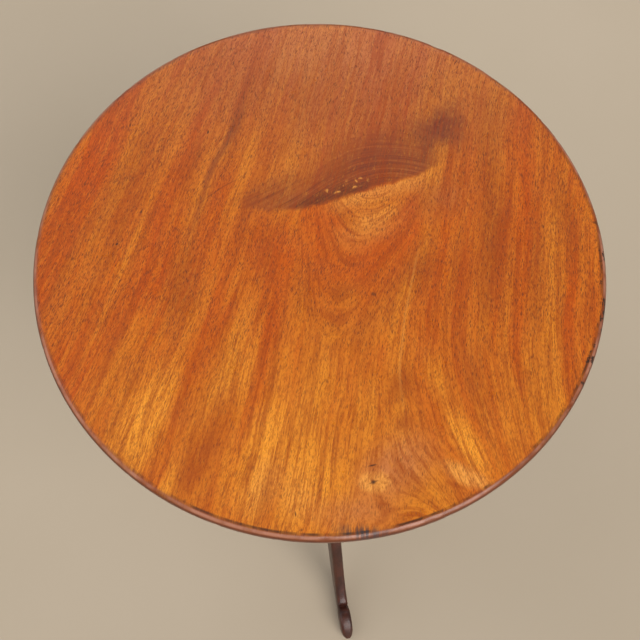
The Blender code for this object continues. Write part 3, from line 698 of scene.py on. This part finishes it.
# Stations along a leg: upper edge (radius, height), lower edge, share of the full width
LEG = [
    ((0.0270, 0.1895), (0.0270, 0.1150), 1.0),
    ((0.0500, 0.1965), (0.0520, 0.1151), 1.0),
    ((0.0760, 0.1985), (0.0740, 0.1152), 1.0),
    ((0.1020, 0.1930), (0.0920, 0.1160), 1.0),
    ((0.1270, 0.1800), (0.1100, 0.1130), 0.98),
    ((0.1500, 0.1600), (0.1270, 0.1020), 0.96),
    ((0.1710, 0.1340), (0.1430, 0.0850), 0.93),
    ((0.1900, 0.1040), (0.1590, 0.0640), 0.91),
    ((0.2070, 0.0740), (0.1760, 0.0420), 0.90),
    ((0.2230, 0.0500), (0.1950, 0.0235), 0.89),
    ((0.2365, 0.0352), (0.2160, 0.0105), 0.88),
    ((0.2430, 0.0305), (0.2360, 0.0038), 0.88),
    ((0.2456, 0.0296), (0.2430, 0.0022), 0.88),
]
TOE = [
    ((0.2461, 0.0222), (0.2460, 0.0010), 0.88),
    ((0.2490, 0.0232), (0.2490, 0.0002), 0.92),
    ((0.2540, 0.0272), (0.2540, 0.0000), 0.97),
    ((0.2620, 0.0299), (0.2620, 0.0000), 1.0),
    ((0.2710, 0.0286), (0.2710, 0.0000), 1.0),
    ((0.2790, 0.0248), (0.2790, 0.0001), 0.98),
    ((0.2855, 0.0195), (0.2845, 0.0009), 0.89),
    ((0.2903, 0.0138), (0.2897, 0.0034), 0.66),
    ((0.2932, 0.0098), (0.2932, 0.0064), 0.28),
]


def build_leg(name, azimuth, material):
    rows = []
    for part in (LEG, TOE):
        flat = [(a[0], a[1], b[0]) for a, b, _ in part]
        rest = [(b[1], share, 0.0) for _, b, share in part]
        for p, q in zip(curve_through(flat, 5), curve_through(rest, 5)):
            rows.append(((p.x, p.y), (p.z, max(q.x, 0.0)), q.y))
    turn = Matrix.Rotation(math.radians(azimuth), 4, "Z")
    bm = bmesh.new()
    rings = []
    for upper, lower, share in rows:
        top, bottom = Vector((upper[0], 0, upper[1])), Vector((lower[0], 0, lower[1]))
        height = (top - bottom).length
        along = (top - bottom).normalized()
        half = LEG_HALF * share
        round_top = min(LEG_ROUND_TOP, height * 0.48, half * 0.92)
        round_low = min(LEG_ROUND_LOW, height * 0.30, half * 0.60)
        ring = []
        for side, level, start, edge in ((1, 1, 0, round_top), (-1, 1, 90, round_top),
                                         (-1, 0, 180, round_low), (1, 0, 270, round_low)):
            centre = (side * (half - edge), height - edge if level else edge)
            for x, z in arc(centre, edge, start, start + 90, 5):
                ring.append(bm.verts.new(turn @ (bottom + along * z + Vector((0, x, 0)))))
        rings.append(ring)
    count = len(rings[0])
    for first, second in zip(rings, rings[1:]):
        for k in range(count):
            n = (k + 1) % count
            bm.faces.new((first[k], first[n], second[n], second[k]))
    for ring in (rings[0], rings[-1]):
        bm.faces.new(ring)
    leg = new_object(name + "_carved", bm, 46.0)
    return dress(leg, material, STAND, "base_wood", name)


def softened(node, body, slot_name, material, width, segments):
    """The CAD node's own shape, with its sharp edges eased."""
    bm = bmesh.new()
    bm.from_mesh(NODES[node].data)
    bmesh.ops.remove_doubles(bm, verts=bm.verts, dist=0.00001)
    bmesh.ops.dissolve_limit(bm, angle_limit=math.radians(0.8), verts=bm.verts, edges=bm.edges)
    piece = new_object(node + "_eased", bm, 35.0)
    bevel = piece.modifiers.new("eased", "BEVEL")
    bevel.width = width
    bevel.segments = segments
    bevel.limit_method = "ANGLE"
    bevel.angle_limit = math.radians(32)
    bevel.use_clamp_overlap = True
    return dress(piece, material, body, slot_name, node)


def screw_detail(node, body, slot_name, material, direction, slot_angle):
    """A slotted countersunk head, slightly domed and worn, with its shank."""
    low, high = (Vector(c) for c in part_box(node))
    middle = (low + high) / 2
    axis = Vector(direction)
    length = abs((high - low).dot(axis))
    across = [abs((high - low)[k]) for k in range(3) if abs(axis[k]) < 0.5]
    head = max(across) / 2
    foot = middle - axis * (length / 2)
    # From the shank's tip up to the head's face, which is at height 0
    outline = [(head * 0.40, -length), (head * 0.50, -length * 0.85), (head * 0.50, -head * 0.55),
               (head * 0.98, -0.0005), (head, -0.0003), (head * 0.99, -0.0001), (head * 0.93, 0.0)]
    outline += [(head * 0.7, 0.00012), (head * 0.4, 0.00020), (head * 0.15, 0.00022)]
    piece = lathe(node + "_head", outline, 28, smooth_angle=30.0)
    cutter_mesh = bmesh.new()
    slot_size = Matrix.Diagonal((head * 3, head * 0.22, head * 0.6, 1))
    bmesh.ops.create_cube(cutter_mesh, size=1.0, matrix=slot_size)
    cutter = new_object(node + "_cut", cutter_mesh)
    slot = piece.modifiers.new("slot", "BOOLEAN")
    slot.object = cutter
    slot.solver = "EXACT"
    bpy.context.view_layer.update()
    cut_mesh = bpy.data.meshes.new_from_object(piece.evaluated_get(bpy.context.evaluated_depsgraph_get()))
    piece.modifiers.clear()
    bpy.data.objects.remove(cutter)
    turn = (-axis).to_track_quat("Z", "Y").to_matrix().to_4x4()
    spin = Matrix.Rotation(math.radians(slot_angle), 4, "Z")
    cut_mesh.transform(Matrix.Translation(foot) @ turn @ spin)
    piece.data = cut_mesh
    piece.data.set_sharp_from_angle(angle=math.radians(35))
    return dress(piece, material, body, slot_name, node)


def build_knob(material):
    low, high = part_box("catch_knob")
    cx, cy = (low[0] + high[0]) / 2, (low[1] + high[1]) / 2
    face = high[2] - 0.0030
    outline = [(0.0006, -0.0130), (0.0024, -0.0127), (0.0044, -0.0118), (0.0058, -0.0104), (0.0064, -0.0088),
               (0.0060, -0.0072), (0.0048, -0.0058), (0.0034, -0.0049), (0.0027, -0.0040), (0.0025, -0.0028),
               (0.0028, -0.0018), (0.0040, -0.0010), (0.0042, -0.0003)]
    points = [tuple(p) for p in curve_through([(r, z + face) for r, z in outline], 4)]
    points += [(0.0015, face - 0.0002), (0.0015, face + 0.0029)]
    knob = lathe("catch_knob_turned", points, 40, centre=(cx, cy), smooth_angle=40.0)
    return dress(knob, material, SLIDER, "brass", "catch_knob")


# ---------------------------------------------------------------------------------------------- the set
def studio():
    bm = bmesh.new()
    bmesh.ops.create_grid(bm, x_segments=1, y_segments=1, size=25.0)
    floor = new_object("floor", bm)
    g = Paint("pale_floor")
    soft = g.noise(g.place, 3.0, 3.0, 0.5)
    colour = g.mix(soft, (0.455, 0.372, 0.272), (0.490, 0.404, 0.304))
    floor.data.materials.append(g.finish(colour, 0.6, Specular_IOR_Level=0.25))
    bpy.context.scene.view_settings.view_transform = "Standard"
    world = bpy.data.worlds.new("studio")
    world.use_nodes = True
    world.node_tree.nodes["Background"].inputs[0].default_value = (0.96, 0.98, 1.0, 1.0)
    world.node_tree.nodes["Background"].inputs[1].default_value = 0.26
    bpy.context.scene.world = world
    turn = Matrix.Rotation(math.radians(-FIGURE_TURN), 4, "Z")
    scene = bpy.context.scene
    # Name, kind, place, power, size (degrees for a sun, metres for an area), colour
    lamps = (
        ("key", "SUN", (0.9, -1.3, 1.9), 2.85, 50.0, (1.0, 0.98, 0.95)),
        ("fill", "SUN", (-1.6, -0.2, 1.9), 1.00, 80.0, (0.97, 0.98, 1.0)),
        ("haze", "AREA", (-0.2, 2.0, 2.4), 11.0, (2.4, 0.8), (0.98, 0.99, 1.0)),
    )
    for name, kind, at, power, size, tint in lamps:
        data = bpy.data.lights.new(name, kind)
        data.energy = power
        data.color = tint
        if kind == "SUN":
            data.angle = math.radians(size)
        else:
            data.shape = "RECTANGLE"
            data.size, data.size_y = size
        light = bpy.data.objects.new(name, data)
        scene.collection.objects.link(light)
        light.location = turn @ Vector(at)
        aim = Vector((0, 0, 0.6)) - light.location
        light.rotation_euler = aim.to_track_quat("-Z", "Y").to_euler()


def camera():
    """Looks down on the table from beside it, a little rolled."""
    # Metres, then degrees, then millimetres
    height, back, aside = 1.828, 0.556, 0.002
    down, roll = 66.77, -2.48
    lens, sensor = 67.5, 36.0
    pitch, tilt = math.radians(down), math.radians(roll)
    forward = Vector((0, math.cos(pitch), -math.sin(pitch)))
    right = Vector((1, 0, 0))
    below = forward.cross(right)
    image_right = right * math.cos(tilt) + below * math.sin(tilt)
    image_down = below * math.cos(tilt) - right * math.sin(tilt)
    turn = Matrix.Rotation(math.radians(-FIGURE_TURN), 4, "Z")
    axes = Matrix((image_right, -image_down, -forward)).transposed().to_4x4()
    data = bpy.data.cameras.new("camera")
    data.lens = lens
    data.sensor_width = sensor
    made = bpy.data.objects.new("camera", data)
    bpy.context.scene.collection.objects.link(made)
    made.matrix_world = turn @ Matrix.Translation((aside, -back, height)) @ axes
    bpy.context.scene.camera = made


def main():
    figured = top_wood()
    dark = straight_wood("mahogany_dark", (0.078, 0.019, 0.009), (0.036, 0.010, 0.006), "z", 0.36,
                         wear_tone=(0.24, 0.075, 0.034))
    dry_y = straight_wood("mahogany_dry_y", (0.235, 0.100, 0.044), (0.150, 0.058, 0.026), "y", 0.58)
    dry_x = straight_wood("mahogany_dry_x", (0.225, 0.096, 0.043), (0.135, 0.052, 0.024), "x", 0.58)
    brass = old_metal("brass_aged", (0.62, 0.43, 0.17), (0.33, 0.22, 0.095), (0.07, 0.05, 0.03), 0.36)
    iron = old_metal("iron_forged", (0.16, 0.145, 0.13), (0.075, 0.062, 0.055), (0.16, 0.060, 0.025), 0.52)

    build_top(figured)
    build_column(dark)
    for name, azimuth in (("leg_back", 90.0), ("leg_left", 210.0), ("leg_right", 330.0)):
        build_leg(name, azimuth, dark)
    for name, body, slot_name, material, width, segments in (
        ("bearer_left", TOP, "under_wood", dry_y, 0.0012, 3),
        ("bearer_right", TOP, "under_wood", dry_y, 0.0012, 3),
        ("block", STAND, "under_wood", dry_x, 0.0010, 3),
        ("brace_plate", STAND, "iron", iron, 0.0004, 2),
        ("strike_plate", STAND, "brass", brass, 0.0002, 2),
        ("catch_plate", TOP, "brass", brass, 0.0003, 2),
        ("catch_strap_front", TOP, "brass", brass, 0.0004, 2),
        ("catch_strap_rear", TOP, "brass", brass, 0.0004, 2),
        ("catch_bolt", SLIDER, "brass", brass, 0.0004, 2),
    ):
        softened(name, body, slot_name, material, width, segments)
    build_knob(brass)
    for name, material in (("tenon_wedge", dry_y), ("catch_spring", iron)):
        NODES[name].data.materials.clear()
        NODES[name].data.materials.append(material)
    screws = {
        "bearer": (TOP, "iron", iron, (0, 0, 1)),
        "brace": (STAND, "iron", iron, (0, 0, 1)),
        "catch": (TOP, "brass", brass, (0, 0, 1)),
        "strike": (STAND, "brass", brass, (0, -1, 0)),
    }
    for name in sorted(NODES):
        if "_screw_" in name:
            # Each slot stops at an angle of its own
            angle = (sum(ord(c) for c in name) * 37) % 180
            screw_detail(name, *screws[name.split("_")[0]], angle)
    studio()
    camera()


main()
